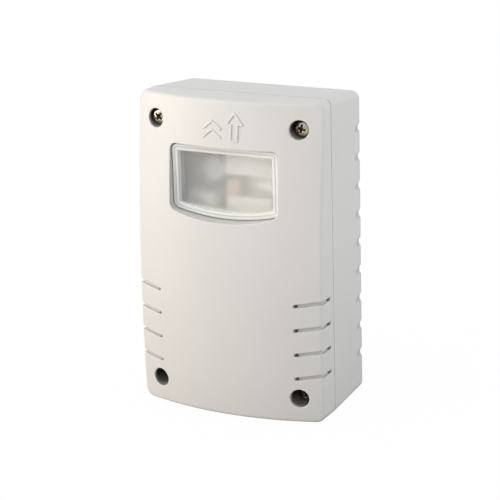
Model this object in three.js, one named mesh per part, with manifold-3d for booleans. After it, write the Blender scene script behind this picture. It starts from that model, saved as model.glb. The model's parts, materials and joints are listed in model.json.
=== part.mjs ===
// Light-sensing control unit of an automatic coop door, closed, as it hangs on a wall.
//
// A drafted rear housing carries the circuit board on posts. A bowed front cover closes it against a
// rubber cord and is held by four long screws. Daylight falls through the window onto a photocell, a
// trimmer sets the switching level, and a relay switches the door drive through the terminal block.
//
// Millimetres, +Z up, front towards -Y. The origin is the centre of the flat back, on the wall, and
// "depth" is always the distance from the wall, so a depth d lies at y = -d.

import * as THREE from "three";
import { mergeVertices } from "three/addons/utils/BufferGeometryUtils.js";
import Module from "manifold-3d";

const wasm = await Module();
wasm.setup();

// ---------------------------------------------------------------- driving dimensions

const WIDTH = 61.4; // across the joint between housing and cover
const HEIGHT = 99; // the same, upwards
const DEPTH = 38; // wall to the proudest point of the front
const SEAM_DEPTH = 22.4; // wall to the joint between housing and cover
const SEAM_GAP = 0.3; // open line between the two mouldings
const WALL = 2.4; // moulding wall
const CORNER_R = 3; // outline corners at the front edge
const SEAM_CORNER_R = 2; // at the joint
const REAR_CORNER_R = 2.6; // and at the wall
const EDGE_R = 0.9; // rounded front edge
const BOW_X = 5.5; // how far the side edges lie behind the middle of the front
const BOW_Z = 2.2; // the same up and down, over half the height
const BOW_CENTRE_Z = -21.4; // height of the proudest point
const FLARE_X = 0.95; // the cover widens by this much on each side from the joint to the front edge
const TAPER_Z = 0.2; // and shortens by this much at top and bottom
const DRAFT_X = 0.75; // the housing narrows by this much on each side towards the wall
const DRAFT_TOP = 1.8; // by this much at the top
const DRAFT_BOTTOM = 0.8; // and by this much at the bottom

const SCREW_X = 24.2; // cover screws, each side of the middle
const SCREW_Z = 41.5;
const HEAD_WELL_R = 3;
const HEAD_SEAT_DEPTH = 26.9;
const COVER_SCREW = { headR: 2.45, headH: 2.2, shankR: 1.45, length: 18.6 };
const BOARD_SCREW = { headR: 2.6, headH: 1.8, shankR: 1.2, length: 6 };
const COVER_BOSS_R = 4.75; // bosses round the wells
const HOUSING_POST_R = 4; // and the posts that they meet
const PILOT_FLOOR_DEPTH = 6; // where the screw holes in the housing end

const WINDOW = { halfWidth: 18.3, top: 34.7, side: 14.6, bottom: 12.1, corner: 2 };
const LENS_BORDER_DEPTH = 32.7; // front of the lens's raised border
const LENS_PANE_DEPTH = 31.7; // front of its sunken pane
const LENS_LEDGE_DEPTH = 30.6; // flat ledge behind the window, which the lens seals against
const LENS_SEAL = 0.5;
const LENS_FLANGE = 1.2;
const FLANGE_REACH = 2.2; // flange beyond the window's outline
const SEAL_REACH = 1.9;
const FRAME_REACH = 3.2; // thick frame of the cover round the window
const WINDOW_LIP = 0.45; // chamfer round the opening

const GROOVE_HALF = 0.55; // half the height of each finger groove
const GROOVE_Z = [-12, -19.7, -27.5, -35.2];
const GROOVE_START_X = 23.4;
const GROOVE_END_DEPTH = 25.6;
const GROOVE_RISE = 0.17; // the grooves climb by this much for each millimetre outwards
const GROOVE_FALL = 0.06; // and sink by this much for each millimetre towards the wall
const NOTCH_COUNT = 9; // scallops along the rear side edges
const NOTCH_PITCH = 9.1;
const MARK_HEIGHT = 0.35; // raised mounting mark
const MARK_STROKE = 0.55;
const MARK_ROOT_DEPTH = 32.6; // the mark grows out of the wall of the cover
const ARROW = { x: 4.55, tip: 46.2, head: 41.9, foot: 37.1, headHalf: 3, shaftHalf: 1.35 };
const CHEVRON = { x: -2.9, low: [38.4, 41], half: 2.9, rise: 2.3 };
const REBATE = 2.25; // depth of the housing's rim for the cover's tongue and its cord
const RIM = 1.3; // thickness of that rim
const TONGUE = { inset: 1.6, length: 1.1 };
const CORD = 1.1; // thickness of the rubber cord

const BOARD = { width: 51, height: 73, thick: 1.6, frontDepth: 10 };
const BOARD_POST_X = 21.5;
const BOARD_POST_Z = 32.5;
const WALL_SLOT = { z: 41.5, r: 2.1, stretch: 1.6 };
const ENTRY = { x: 13, depth: 11, r: 5 }; // cable entries in the bottom wall

const POLE_PITCH = 7.5;
const POLES = 4;
const TOUCH = 0.3; // gap between neighbours that would otherwise share a curved or turned surface

// ---------------------------------------------------------------- solids

// A manifold-3d solid from a closed three.js geometry, moved by a matrix.
function solid(geometry, matrix = new THREE.Matrix4()) {
  const bare = (geometry.index ? geometry.toNonIndexed() : geometry.clone()).applyMatrix4(matrix);
  for (const name of Object.keys(bare.attributes)) if (name !== "position") bare.deleteAttribute(name);
  const merged = mergeVertices(bare, 1e-4);
  return new wasm.Manifold(
    new wasm.Mesh({
      numProp: 3,
      vertProperties: new Float32Array(merged.attributes.position.array),
      triVerts: new Uint32Array(merged.index.array),
    }),
  );
}

function geometryOf(made) {
  const mesh = made.getMesh();
  const geometry = new THREE.BufferGeometry();
  geometry.setAttribute("position", new THREE.BufferAttribute(new Float32Array(mesh.vertProperties), 3));
  geometry.setIndex(new THREE.BufferAttribute(new Uint32Array(mesh.triVerts), 1));
  geometry.computeVertexNormals();
  return geometry;
}

const union = (list) => list.reduce((a, b) => a.add(b));

// A box between two corners.
function block(low, high) {
  const size = high.map((v, i) => v - low[i]);
  const middle = high.map((v, i) => (v + low[i]) / 2);
  return solid(new THREE.BoxGeometry(...size), new THREE.Matrix4().makeTranslation(...middle));
}

// A plate seen from the front: x and z ranges, standing between two depths.
const plate = (x0, x1, z0, z1, d0, d1) => block([x0, -d1, z0], [x1, -d0, z1]);

const shifted = (x, y, z) => new THREE.Matrix4().makeTranslation(x, y, z);

// A solid of revolution. The profile runs from the axis to the axis as [radius, distance along it].
function turned(profile, segments, axis = "depth", place = shifted(0, 0, 0)) {
  const points = profile.map(([r, s]) => new THREE.Vector2(r, s));
  const geometry = new THREE.LatheGeometry(points, segments);
  const turn = new THREE.Matrix4();
  if (axis === "depth") turn.makeRotationZ(Math.PI);
  if (axis === "z") turn.makeRotationX(Math.PI / 2);
  if (axis === "x") turn.makeRotationZ(-Math.PI / 2);
  turn.multiply(new THREE.Matrix4().makeRotationY(Math.PI / segments)).premultiply(place);
  return outward(solid(geometry, turn));
}

// The same solid with its faces pointing out.
function outward(made) {
  if (made.volume() >= 0) return made;
  const mesh = made.getMesh();
  const flipped = new Uint32Array(mesh.triVerts).reverse();
  return new wasm.Manifold(
    new wasm.Mesh({ numProp: 3, vertProperties: mesh.vertProperties, triVerts: flipped }),
  );
}

// A round bar along the depth axis at (x, z).
function bar(x, z, r, d0, d1, segments = 24) {
  return turned([[0, d0], [r, d0], [r, d1], [0, d1]], segments, "depth", shifted(x, 0, z));
}

// A closed skin through rings that all have the same number of [x, y, z] points.
function loft(rings) {
  const count = rings[0].length;
  const positions = rings.flat();
  const faces = [];
  for (let k = 0; k + 1 < rings.length; k++) {
    for (let i = 0; i < count; i++) {
      const a = k * count + i;
      const b = k * count + ((i + 1) % count);
      faces.push([a, b, b + count], [a, b + count, a + count]);
    }
  }
  for (const [ring, turn] of [[0, true], [rings.length - 1, false]]) {
    const middle = positions.length;
    const sum = rings[ring].reduce((s, p) => s.map((v, i) => v + p[i] / count), [0, 0, 0]);
    positions.push(sum);
    for (let i = 0; i < count; i++) {
      const a = ring * count + i;
      const b = ring * count + ((i + 1) % count);
      faces.push(turn ? [middle, b, a] : [middle, a, b]);
    }
  }
  const geometry = new THREE.BufferGeometry();
  geometry.setAttribute("position", new THREE.BufferAttribute(new Float32Array(positions.flat()), 3));
  geometry.setIndex(faces.flat());
  return outward(solid(geometry));
}

// ---------------------------------------------------------------- outlines, as [x, z] points

// Rounded rectangle with points along its sides too, so that a bowed face can follow it.
function frame(halfW, halfH, r, acrossSteps = 10, upSteps = 10, arcSteps = 4) {
  const points = [];
  const radius = Math.max(r, 0.05);
  const corners = [[1, 1, 0], [-1, 1, 90], [-1, -1, 180], [1, -1, 270]];
  corners.forEach(([sx, sz, from], k) => {
    const cx = sx * (halfW - radius);
    const cz = sz * (halfH - radius);
    for (let i = 0; i <= arcSteps; i++) {
      const a = THREE.MathUtils.degToRad(from + (90 * i) / arcSteps);
      points.push([cx + radius * Math.cos(a), cz + radius * Math.sin(a)]);
    }
    const [nx, nz] = corners[(k + 1) % 4];
    const steps = k % 2 ? upSteps : acrossSteps;
    const a = THREE.MathUtils.degToRad(from + 90);
    const start = [cx + radius * Math.cos(a), cz + radius * Math.sin(a)];
    const end = [nx * (halfW - radius) + radius * Math.cos(a), nz * (halfH - radius) + radius * Math.sin(a)];
    for (let i = 1; i < steps; i++) points.push(start.map((v, axis) => v + ((end[axis] - v) * i) / steps));
  });
  return points;
}

// The window's outline: straight top and sides, bottom bowed down. grow offsets it all round.
function windowOutline(grow, arcSteps = 3, topSteps = 8, sideSteps = 3) {
  const w = WINDOW.halfWidth + grow;
  const top = WINDOW.top + grow;
  const side = WINDOW.side - grow;
  const sag = WINDOW.side - WINDOW.bottom;
  const r = Math.max(WINDOW.corner + grow, 0.3);
  const points = [];
  for (const [cx, from] of [[w - r, 0], [-w + r, 90]]) {
    for (let i = 0; i <= arcSteps; i++) {
      const a = THREE.MathUtils.degToRad(from + (90 * i) / arcSteps);
      points.push([cx + r * Math.cos(a), top - r + r * Math.sin(a)]);
    }
    const steps = from === 0 ? topSteps : sideSteps;
    for (let i = 1; i < steps; i++) {
      const t = i / steps;
      if (from === 0) points.push([(w - r) * (1 - 2 * t), top]);
      else points.push([-w, top - r + (side - top + 2 * r) * t]);
    }
  }
  const bowSteps = 12;
  const ease = r * 0.55; // the lower corners are cut by short arcs before the bow begins
  points.push([-w, side + r], [-w + ease * 0.35, side + r * 0.35]);
  for (let i = 0; i <= bowSteps; i++) {
    const x = -w + ease + ((2 * w - 2 * ease) * i) / bowSteps;
    points.push([x, side - sag * (1 - (x / w) ** 2)]);
  }
  points.push([w - ease * 0.35, side + r * 0.35]);
  for (let i = 0; i < sideSteps; i++) points.push([w, side + r + ((top - side - 2 * r) * i) / sideSteps]);
  return points;
}

// The outline at a depth, which is a number or a function of x and z.
function at(points, depth) {
  return points.map(([x, z]) => [x, -(typeof depth === "number" ? depth : depth(x, z)), z]);
}
const scaled = (points, s, centre = [0, 0]) =>
  points.map(([x, z]) => [centre[0] + (x - centre[0]) * s, centre[1] + (z - centre[1]) * s]);

// ---------------------------------------------------------------- the bowed front

const frontDepth = (x, z) =>
  DEPTH - BOW_X * (x / (WIDTH / 2)) ** 2 - BOW_Z * ((z - BOW_CENTRE_Z) / (HEIGHT / 2)) ** 2;

// The cover's outer body: flat at the seam, bowed at the front, raised by an optional amount.
function coverBody(raise = 0) {
  const [halfWidth, halfHeight] = [WIDTH / 2 + FLARE_X, HEIGHT / 2 - TAPER_Z];
  const outline = (inset) => frame(halfWidth - inset, halfHeight - inset, CORNER_R - inset);
  const rings = [at(frame(WIDTH / 2, HEIGHT / 2, SEAM_CORNER_R), SEAM_DEPTH + SEAM_GAP / 2)];
  for (const degrees of [0, 30, 60, 90]) {
    const a = THREE.MathUtils.degToRad(degrees);
    const drop = EDGE_R * (1 - Math.sin(a));
    rings.push(at(outline(EDGE_R * (1 - Math.cos(a))), (x, z) => frontDepth(x, z) + raise - drop));
  }
  for (const s of [0.82, 0.62, 0.42, 0.2, 0.05]) {
    rings.push(at(scaled(outline(EDGE_R), s), (x, z) => frontDepth(x, z) + raise));
  }
  return loft(rings);
}

// The hollow behind the front.
function coverHollow() {
  const inner = frame(WIDTH / 2 - WALL, HEIGHT / 2 - WALL, 1, 6, 8, 2);
  const ceiling = (x, z) => frontDepth(x, z) - WALL;
  const rings = [at(inner, SEAM_DEPTH - 1), at(inner, (x, z) => Math.max(ceiling(x, z), SEAM_DEPTH + 1))];
  for (const s of [0.75, 0.45, 0.1]) rings.push(at(scaled(inner, s), ceiling));
  return loft(rings);
}

// A groove cutter that starts on the front, rounds the edge and stops on the side wall.
function grooveCutter(side, z) {
  const startDepth = 1.5; // below the front where the groove starts
  const wallDepth = 1; // and into the side wall
  const wall = WIDTH / 2 + FLARE_X;
  const reach = wall + 3;
  const edge = frontDepth(wall, z);
  const floorAt = (x) => [x, frontDepth(x, z) - startDepth + (x - GROOVE_START_X) * 0.08];
  const floor = [GROOVE_START_X, 26, 28].map(floorAt);
  floor.push([wall - 1.9, edge - 1.25], [wall - 1.2, edge - 2], [wall - wallDepth, edge - 2.8]);
  floor.push([WIDTH / 2 - 0.8, GROOVE_END_DEPTH]);
  const outline = [...floor, [reach, GROOVE_END_DEPTH], [reach, DEPTH + 2], [GROOVE_START_X, DEPTH + 2]];
  const shape = new THREE.Shape(outline.map(([x, d]) => new THREE.Vector2(x * side, -d)));
  const geometry = new THREE.ExtrudeGeometry(shape, { depth: 2 * GROOVE_HALF, bevelEnabled: false });
  const channel = outward(solid(geometry, shifted(0, 0, z - GROOVE_HALF)));
  const frontEnd = bar(side * GROOVE_START_X, z, GROOVE_HALF, floor[0][1], DEPTH + 2, 10);
  const inner = side * (WIDTH / 2 - 0.8);
  const profile = [[0, inner], [GROOVE_HALF, inner], [GROOVE_HALF, side * reach], [0, side * reach]];
  const sideEnd = turned(profile, 10, "x", shifted(0, -GROOVE_END_DEPTH, z));
  const level = geometryOf(union([channel, frontEnd, sideEnd]));
  const slope = new THREE.Matrix4().makeShear(0, side * GROOVE_RISE, 0, -GROOVE_FALL, 0, 0);
  const drop = GROOVE_RISE * GROOVE_START_X + GROOVE_FALL * frontDepth(GROOVE_START_X, z);
  return solid(level, slope.premultiply(shifted(0, 0, -drop)));
}

// The raised mounting mark: two chevrons and an outlined arrow, all pointing to the top.
function mountingMark() {
  const stroke = MARK_STROKE;
  const chevron = (low) => {
    const { x, half, rise } = CHEVRON;
    const upper = [[x - half, low], [x, low + rise], [x + half, low]];
    const lower = upper.map(([px, pz]) => [px, pz - stroke * 1.3]).reverse();
    return new THREE.Shape([...upper, ...lower].map(([px, pz]) => new THREE.Vector2(px, pz)));
  };
  const arrow = (inset) => {
    const { x, tip, head, foot, headHalf, shaftHalf } = ARROW;
    const top = tip - 1.8 * inset; // the slopes meet at a sharp tip, so it moves further than the sides
    const wide = headHalf - 1.6 * inset;
    const shaft = shaftHalf - inset;
    const half = [[x - wide, head + inset], [x - shaft, head + inset], [x - shaft, foot + inset]];
    const other = half.map(([px, pz]) => [2 * x - px, pz]).reverse();
    return [[x, top], ...half, ...other].map(([px, pz]) => new THREE.Vector2(px, pz));
  };
  const outlined = new THREE.Shape(arrow(0));
  outlined.holes.push(new THREE.Path(arrow(stroke)));
  const stand = new THREE.Matrix4().makeRotationX(Math.PI / 2).premultiply(shifted(0, -MARK_ROOT_DEPTH, 0));
  const depth = DEPTH - MARK_ROOT_DEPTH;
  const extruded = [...CHEVRON.low.map(chevron), outlined].map((shape) =>
    outward(solid(new THREE.ExtrudeGeometry(shape, { depth, bevelEnabled: false }), stand)),
  );
  return union(extruded).intersect(coverBody(MARK_HEIGHT));
}

const screwPlaces = [
  ["top_left", -SCREW_X, SCREW_Z],
  ["top_right", SCREW_X, SCREW_Z],
  ["bottom_left", -SCREW_X, -SCREW_Z],
  ["bottom_right", SCREW_X, -SCREW_Z],
];

// A closed band between two frames that lie one inside the other, from depth d0 to d1.
function band(outer, inner, d0, d1) {
  return loft([at(outer, d0), at(outer, d1)]).subtract(loft([at(inner, d0 - 1), at(inner, d1 + 1)]));
}

const tongueOuter = frame(WIDTH / 2 - TONGUE.inset, HEIGHT / 2 - TONGUE.inset, 1.4, 2, 2, 3);
const tongueInner = frame(WIDTH / 2 - WALL, HEIGHT / 2 - WALL, 0.9, 2, 2, 3);

function frontCover() {
  const rear = SEAM_DEPTH + SEAM_GAP / 2;
  const body = coverBody();
  let made = body.subtract(coverHollow());
  // The tongue presses the rubber cord into the housing's rebate.
  made = made.add(band(tongueOuter, tongueInner, SEAM_DEPTH - TONGUE.length, rear + WALL / 2));
  for (const [, x, z] of screwPlaces) {
    made = made.add(bar(x, z, COVER_BOSS_R, rear, DEPTH, 24).intersect(body));
  }
  const around = windowOutline(FRAME_REACH);
  made = made.add(loft([at(around, LENS_LEDGE_DEPTH), at(around, DEPTH)]).intersect(body));
  made = made.add(mountingMark());
  const pocket = windowOutline(FLANGE_REACH + TOUCH);
  made = made.subtract(loft([at(pocket, SEAM_DEPTH), at(pocket, LENS_LEDGE_DEPTH)]));
  for (const [, x, z] of screwPlaces) {
    made = made.subtract(bar(x, z, HEAD_WELL_R, HEAD_SEAT_DEPTH, DEPTH + 1, 28));
    made = made.subtract(bar(x, z, COVER_SCREW.shankR + TOUCH, SEAM_DEPTH - 2, DEPTH, 16));
  }
  const opening = windowOutline(0);
  const mouth = windowOutline(WINDOW_LIP);
  made = made.subtract(
    loft([
      at(opening, LENS_LEDGE_DEPTH - 1),
      at(opening, (x, z) => frontDepth(x, z) - WINDOW_LIP),
      at(mouth, frontDepth),
      at(mouth, DEPTH + 1),
    ]),
  );
  for (const z of GROOVE_Z) {
    for (const side of [-1, 1]) made = made.subtract(grooveCutter(side, z));
  }
  return made;
}

// The lens: a raised border round a sunken pane, with a flange behind the cover.
function windowLens() {
  const play = 0.25; // gap to the cover all round
  const border = 2.05;
  const edge = 0.25;
  const back = LENS_LEDGE_DEPTH - LENS_SEAL;
  const plug = loft([
    at(windowOutline(-play), back - LENS_FLANGE / 2),
    at(windowOutline(-play), LENS_BORDER_DEPTH - edge),
    at(windowOutline(-play - edge), LENS_BORDER_DEPTH),
  ]);
  const flange = windowOutline(FLANGE_REACH);
  const skirt = loft([at(flange, back - LENS_FLANGE), at(flange, back)]);
  const slope = LENS_BORDER_DEPTH - LENS_PANE_DEPTH;
  const sink = loft([
    at(windowOutline(-play - border), LENS_PANE_DEPTH),
    at(windowOutline(-play - border + slope), LENS_BORDER_DEPTH),
    at(windowOutline(-play - border + slope * 1.3), LENS_BORDER_DEPTH + slope * 0.3),
  ]);
  return plug.add(skirt).subtract(sink);
}

function lensSeal() {
  const front = LENS_LEDGE_DEPTH;
  return band(windowOutline(SEAL_REACH), windowOutline(0.1), front - LENS_SEAL, front);
}

// ---------------------------------------------------------------- rear housing

// The housing's outline at a depth: it narrows towards the wall.
const housingOutline = (depth, inset = 0, steps = [2, 2, 4]) => {
  const share = 1 - depth / SEAM_DEPTH;
  const centre = ((DRAFT_BOTTOM - DRAFT_TOP) / 2) * share;
  const outline = frame(
    WIDTH / 2 - DRAFT_X * share - inset,
    HEIGHT / 2 - ((DRAFT_BOTTOM + DRAFT_TOP) / 2) * share - inset,
    SEAM_CORNER_R + (REAR_CORNER_R - SEAM_CORNER_R) * share - inset * 0.8,
    ...steps,
  );
  return outline.map(([x, z]) => [x, z + centre]);
};

// A slot through the back wall, for a wall screw.
function wallSlot(z) {
  const { r, stretch } = WALL_SLOT;
  const through = WALL + 1;
  const ends = [-1, 1].map((s) => bar(s * stretch, z, r, -1, through, 16));
  return union([...ends, plate(-stretch, stretch, z - r, z + r, -1, through)]);
}

function rearHousing() {
  const rim = SEAM_DEPTH - SEAM_GAP / 2;
  const shelf = rim - REBATE;
  const edge = 0.4; // rounded rear edge
  let made = loft([
    at(housingOutline(0, edge), 0),
    at(housingOutline(0, edge * 0.3), edge * 0.3),
    at(housingOutline(edge), edge),
    at(housingOutline(rim), rim),
  ]);
  made = made.subtract(loft([at(housingOutline(WALL, WALL), WALL), at(housingOutline(rim, WALL), rim + 1)]));
  made = made.subtract(loft([at(housingOutline(rim, RIM), shelf), at(housingOutline(rim, RIM), rim + 1)]));
  const inner = loft([at(housingOutline(0, WALL / 2), WALL / 2), at(housingOutline(rim, WALL / 2), shelf)]);
  for (const [, x, z] of screwPlaces) {
    made = made.add(bar(x, z, HOUSING_POST_R, WALL / 2, shelf, 24).intersect(inner));
  }
  // The board rests on four posts. Two take screws and the other two end in locating pegs.
  const postTop = BOARD.frontDepth - BOARD.thick;
  const [postR, pegR, pegTop, pilotFloor] = [3, 1.2, BOARD.frontDepth + 0.8, WALL + 0.6];
  for (const s of [-1, 1]) {
    const [x, z] = [s * BOARD_POST_X, s * BOARD_POST_Z];
    made = made.add(bar(x, z, postR, WALL / 2, postTop, 16)).add(bar(x, -z, postR, WALL / 2, postTop, 16));
    made = made.add(bar(x, z, pegR, postTop - 1, pegTop, 12));
    made = made.subtract(bar(x, -z, BOARD_SCREW.shankR + TOUCH, pilotFloor, postTop + 1, 12));
  }
  for (const [, x, z] of screwPlaces) {
    made = made.subtract(bar(x, z, COVER_SCREW.shankR + TOUCH, PILOT_FLOOR_DEPTH, SEAM_DEPTH, 16));
  }
  for (const s of [-1, 1]) {
    made = made.subtract(wallSlot(s * WALL_SLOT.z));
    made = made.subtract(cableEntry(s * ENTRY.x));
  }
  for (let i = 0; i < NOTCH_COUNT; i++) {
    const z = (i - (NOTCH_COUNT - 1) / 2) * NOTCH_PITCH;
    for (const side of [-1, 1]) made = made.subtract(notchCutter(side, z));
  }
  return made;
}

// A round hole up through the bottom wall.
function cableEntry(x) {
  const [low, high] = [-HEIGHT / 2 - 1, -HEIGHT / 2 + 2 * WALL];
  const profile = [[0, low], [ENTRY.r, low], [ENTRY.r, high], [0, high]];
  return turned(profile, 28, "z", shifted(x, -ENTRY.depth, 0));
}

// A scallop in a rear side edge. It is deepest at the wall and runs out along the side.
function notchCutter(side, z) {
  const r = 1.9;
  const bite = 0.75;
  const runOut = 4;
  const lean = Math.atan2(bite + (DRAFT_X * runOut) / SEAM_DEPTH, runOut);
  const x = side * (WIDTH / 2 - DRAFT_X + r - bite);
  const place = shifted(x, 0, z).multiply(new THREE.Matrix4().makeRotationZ(side * lean));
  return turned([[0, -2], [r, -2], [r, 2 * runOut], [0, 2 * runOut]], 14, "depth", place);
}

// The rubber cord in the rebate.
function coverSeal() {
  const shelf = SEAM_DEPTH - SEAM_GAP / 2 - REBATE;
  return band(tongueOuter, tongueInner, shelf, shelf + CORD - TOUCH / 2);
}

// A cable grommet along z, with a closed membrane. z = 0 is the wall's outer face, and its head is below.
function cableGrommet() {
  const neck = ENTRY.r - TOUCH;
  const lipR = 5.9;
  const headR = 6.3;
  const gripZ = 3.1; // the upper lip rests above the wall
  const teat = [[0, -1.9], [1.4, -1.9], [2.6, -1.5], [4.2, -1.4]];
  const head = [[headR, -1.1], [headR, -TOUCH], [neck, -TOUCH]];
  const lip = [[neck, gripZ], [lipR, gripZ], [lipR - 0.6, gripZ + 1.3], [lipR - 2, gripZ + 1.3]];
  const membrane = [[3.4, 0.2], [0, -0.6]];
  return turned([...teat, ...head, ...lip, ...membrane], 24, "z");
}

// ---------------------------------------------------------------- fasteners

// A pan-head screw along the depth axis. Its head's seat is at y = 0 and the point goes towards +Y.
function screw({ headR, headH, shankR, length }) {
  const shank = [[0, -length], [shankR * 0.35, -length], [shankR, -length + shankR * 1.6], [shankR, 0]];
  const head = [[headR, 0], [headR, headH * 0.4], [headR * 0.86, headH * 0.74], [headR * 0.5, headH * 0.95]];
  const reach = headR * 0.62; // cross recess
  const arm = 0.34;
  const floor = headH * 0.35;
  const cross = plate(-reach, reach, -arm, arm, floor, headH + 1).add(
    plate(-arm, arm, -reach, reach, floor, headH + 1),
  );
  return turned([...shank, ...head, [0, headH]], 20).subtract(cross);
}

// ---------------------------------------------------------------- circuit board
// Each part is drawn with its foot on the board at depth 0, centred on its own place.

function circuitBoard() {
  const { width, height, thick } = BOARD;
  const holeR = 1.55;
  let made = plate(-width / 2, width / 2, -height / 2, height / 2, -thick, 0);
  for (const sx of [-1, 1]) {
    for (const sz of [-1, 1]) {
      made = made.subtract(bar(sx * BOARD_POST_X, sz * BOARD_POST_Z, holeR, -thick - 1, 1, 12));
    }
  }
  return made;
}

// Terminal block: a moulding with one chamber per pole, open downwards for the wire.
const poleX = (i) => (i - (POLES - 1) / 2) * POLE_PITCH;
const BLOCK = { halfZ: 5.25, height: 13.5, ledgeZ: 3.2, ledgeDepth: 10.5 };
const CHAMBER = { halfX: 2.8, back: 1.2, front: 10.2, top: 2.6 };
const LEG_SLOT = { halfX: 1.75, low: 2.3, high: 4.3, front: 6.4 };
const POLE_SCREW = { z: -1.4, shankR: 1.4, headR: 2, point: 5.8, seat: 10.7, top: 12.3 };

function terminalHousing() {
  const half = (POLES * POLE_PITCH + 1) / 2;
  const { halfZ, height, ledgeZ, ledgeDepth } = BLOCK;
  let made = plate(-half, half, -halfZ, halfZ, 0, height);
  made = made.subtract(plate(-half - 1, half + 1, ledgeZ, halfZ + 1, ledgeDepth, height + 1));
  for (let i = 0; i < POLES; i++) {
    const x = poleX(i);
    const room = CHAMBER.halfX;
    made = made.subtract(plate(x - room, x + room, -halfZ - 1, CHAMBER.top, CHAMBER.back, CHAMBER.front));
    made = made.subtract(bar(x, POLE_SCREW.z, POLE_SCREW.headR + TOUCH, CHAMBER.front - 1, height + 1, 16));
    const slot = LEG_SLOT.halfX;
    made = made.subtract(plate(x - slot, x + slot, LEG_SLOT.low, LEG_SLOT.high, -1, LEG_SLOT.front));
  }
  return made;
}

// The rising cage that lifts the wire against the bar.
function terminalClamp() {
  const [half, low, high, back, front] = [2.4, -4.1, 1.3, 1.5, 7.1];
  const [wall, roof] = [0.6, 0.9];
  const outer = plate(-half, half, low, high, back, front);
  const hole = plate(-half + wall, half - wall, low - 1, high + 1, back + wall, front - roof);
  const bore = bar(0, POLE_SCREW.z, POLE_SCREW.shankR + TOUCH, front - roof - 0.2, front + 1, 12);
  return outer.subtract(hole).subtract(bore);
}

// The fixed bar, and the leg that it is soldered by.
function terminalBar() {
  const [back, front, top] = [5, 5.7, 3.2];
  return plate(-1.45, 1.45, -3.9, top, back, front).add(plate(-0.6, 0.6, top - 0.7, top, 0, front));
}

function terminalScrew() {
  const { z, shankR, headR, point, seat, top } = POLE_SCREW;
  const profile = [[0, point], [shankR, point], [shankR, seat], [headR, seat], [headR, top], [0, top]];
  const [slotHalf, slotDepth] = [0.3, 0.8];
  const slot = plate(-headR - 1, headR + 1, z - slotHalf, z + slotHalf, top - slotDepth, top + 1);
  return turned(profile, 16, "depth", shifted(0, 0, z)).subtract(slot);
}

// Relay. The coil pulls the armature, which is hinged on the yoke at its lower end, and the armature
// moves the contact spring from the closed contact to the open one.
const RELAY = { halfX: 7.75, halfZ: 9.5, height: 15.5, skin: 0.7, standoff: 0.2 };
const COIL = { z: -0.8, coreR: 1.8, boreR: 2.1, tubeR: 2.8, windingR: 4.7, back: 3.2, front: 10.3 };
const CHEEK = { back: 4, thick: 0.7, halfX: 4.9, low: -6.2, high: 4.4 };
const YOKE = { halfX: 3.6, low: -7.6, front: 11.7 };
const CONTACT = { z: 6.2, r: 0.9 };

function relayCase() {
  const { halfX, halfZ, height, skin, standoff } = RELAY;
  const outer = plate(-halfX, halfX, -halfZ, halfZ, standoff, height);
  return outer.subtract(plate(-halfX + skin, halfX - skin, -halfZ + skin, halfZ - skin, -1, height - skin));
}

const relayBase = () => plate(-6.75, 6.75, -8.5, 8.5, 0, 1.8);

function relayYoke() {
  const { halfX, low, front } = YOKE;
  return plate(-halfX, halfX, low, low + 1, 2, front).add(plate(-halfX, halfX, low, 2.4, 2, 2.9));
}

function relayCore() {
  const [faceR, face] = [3, 11.3];
  const neck = COIL.front + TOUCH;
  const profile = [[0, 3], [COIL.coreR, 3], [COIL.coreR, neck], [faceR, neck], [faceR, face], [0, face]];
  return turned(profile, 20, "depth", shifted(0, 0, COIL.z));
}

function relayBobbin() {
  const { z, boreR, tubeR, back, front } = COIL;
  const { thick, halfX, low, high } = CHEEK;
  const cheek = (d) => plate(-halfX, halfX, low, high, d, d + thick);
  const tube = bar(0, z, tubeR, back, front, 20);
  const bore = bar(0, z, boreR, back - 1, front + 1, 20);
  return union([cheek(CHEEK.back), cheek(front - thick), tube]).subtract(bore);
}

function relayCoil() {
  const { z, tubeR, windingR, back, front } = COIL;
  const play = 0.2;
  const winding = bar(0, z, windingR, CHEEK.back + CHEEK.thick + play, front - CHEEK.thick - play, 24);
  return winding.subtract(bar(0, z, tubeR + play, back, front, 24));
}

const relayArmature = () => plate(-3.4, 3.4, -7.6, 2.6, 11.95, 12.85);

function relaySpring() {
  const leaf = plate(-1.9, 1.9, -5.5, 7.3, 12.95, 13.15);
  return leaf.add(bar(0, CONTACT.z, CONTACT.r, 12.4, 13.7, 12));
}

// A stamped contact: an upright, an arm over the moving contact and a contact button.
function relayContact([x0, x1], armLeft, [armBack, armFront], top, [buttonBack, buttonFront]) {
  const [low, high, thick] = [CONTACT.z - 1, 8.3, 0.5];
  const upright = plate(x0, x1, high - thick, high, 1.8, top);
  const arm = plate(armLeft, x1, low, high, armBack, armFront);
  return union([upright, arm, bar(0, CONTACT.z, CONTACT.r, buttonBack, buttonFront, 12)]);
}
const relayContactOpen = () => relayContact([-1.6, 1.6], -1.6, [10.7, 11.2], 11.2, [11, 11.5]);
const relayContactClosed = () => relayContact([2.4, 4.6], -1.4, [14.1, 14.5], 14.5, [13.85, 14.2]);

// Photocell: a disc with two flats, on two long leads in a white spacer.
const PHOTOCELL = { r: 2.55, flat: 2.15, face: 14.6, thick: 2.1, leadX: 1.7, leadR: 0.25, spacerR: 2.7 };

function photocellBody() {
  const { r, flat, face, thick } = PHOTOCELL;
  return bar(0, 0, r, face - thick, face, 24).intersect(plate(-flat, flat, -r - 1, r + 1, 0, face + 1));
}

function photocellSpacer() {
  const { face, thick, leadX, leadR, spacerR } = PHOTOCELL;
  let made = bar(0, 0, spacerR, 0, face - thick - TOUCH, 20);
  for (const s of [-1, 1]) made = made.subtract(bar(s * leadX, 0, 2 * leadR, -1, face, 8));
  return made;
}

const photocellLead = () => bar(0, 0, PHOTOCELL.leadR, 0, PHOTOCELL.face - PHOTOCELL.thick, 8);

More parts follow.
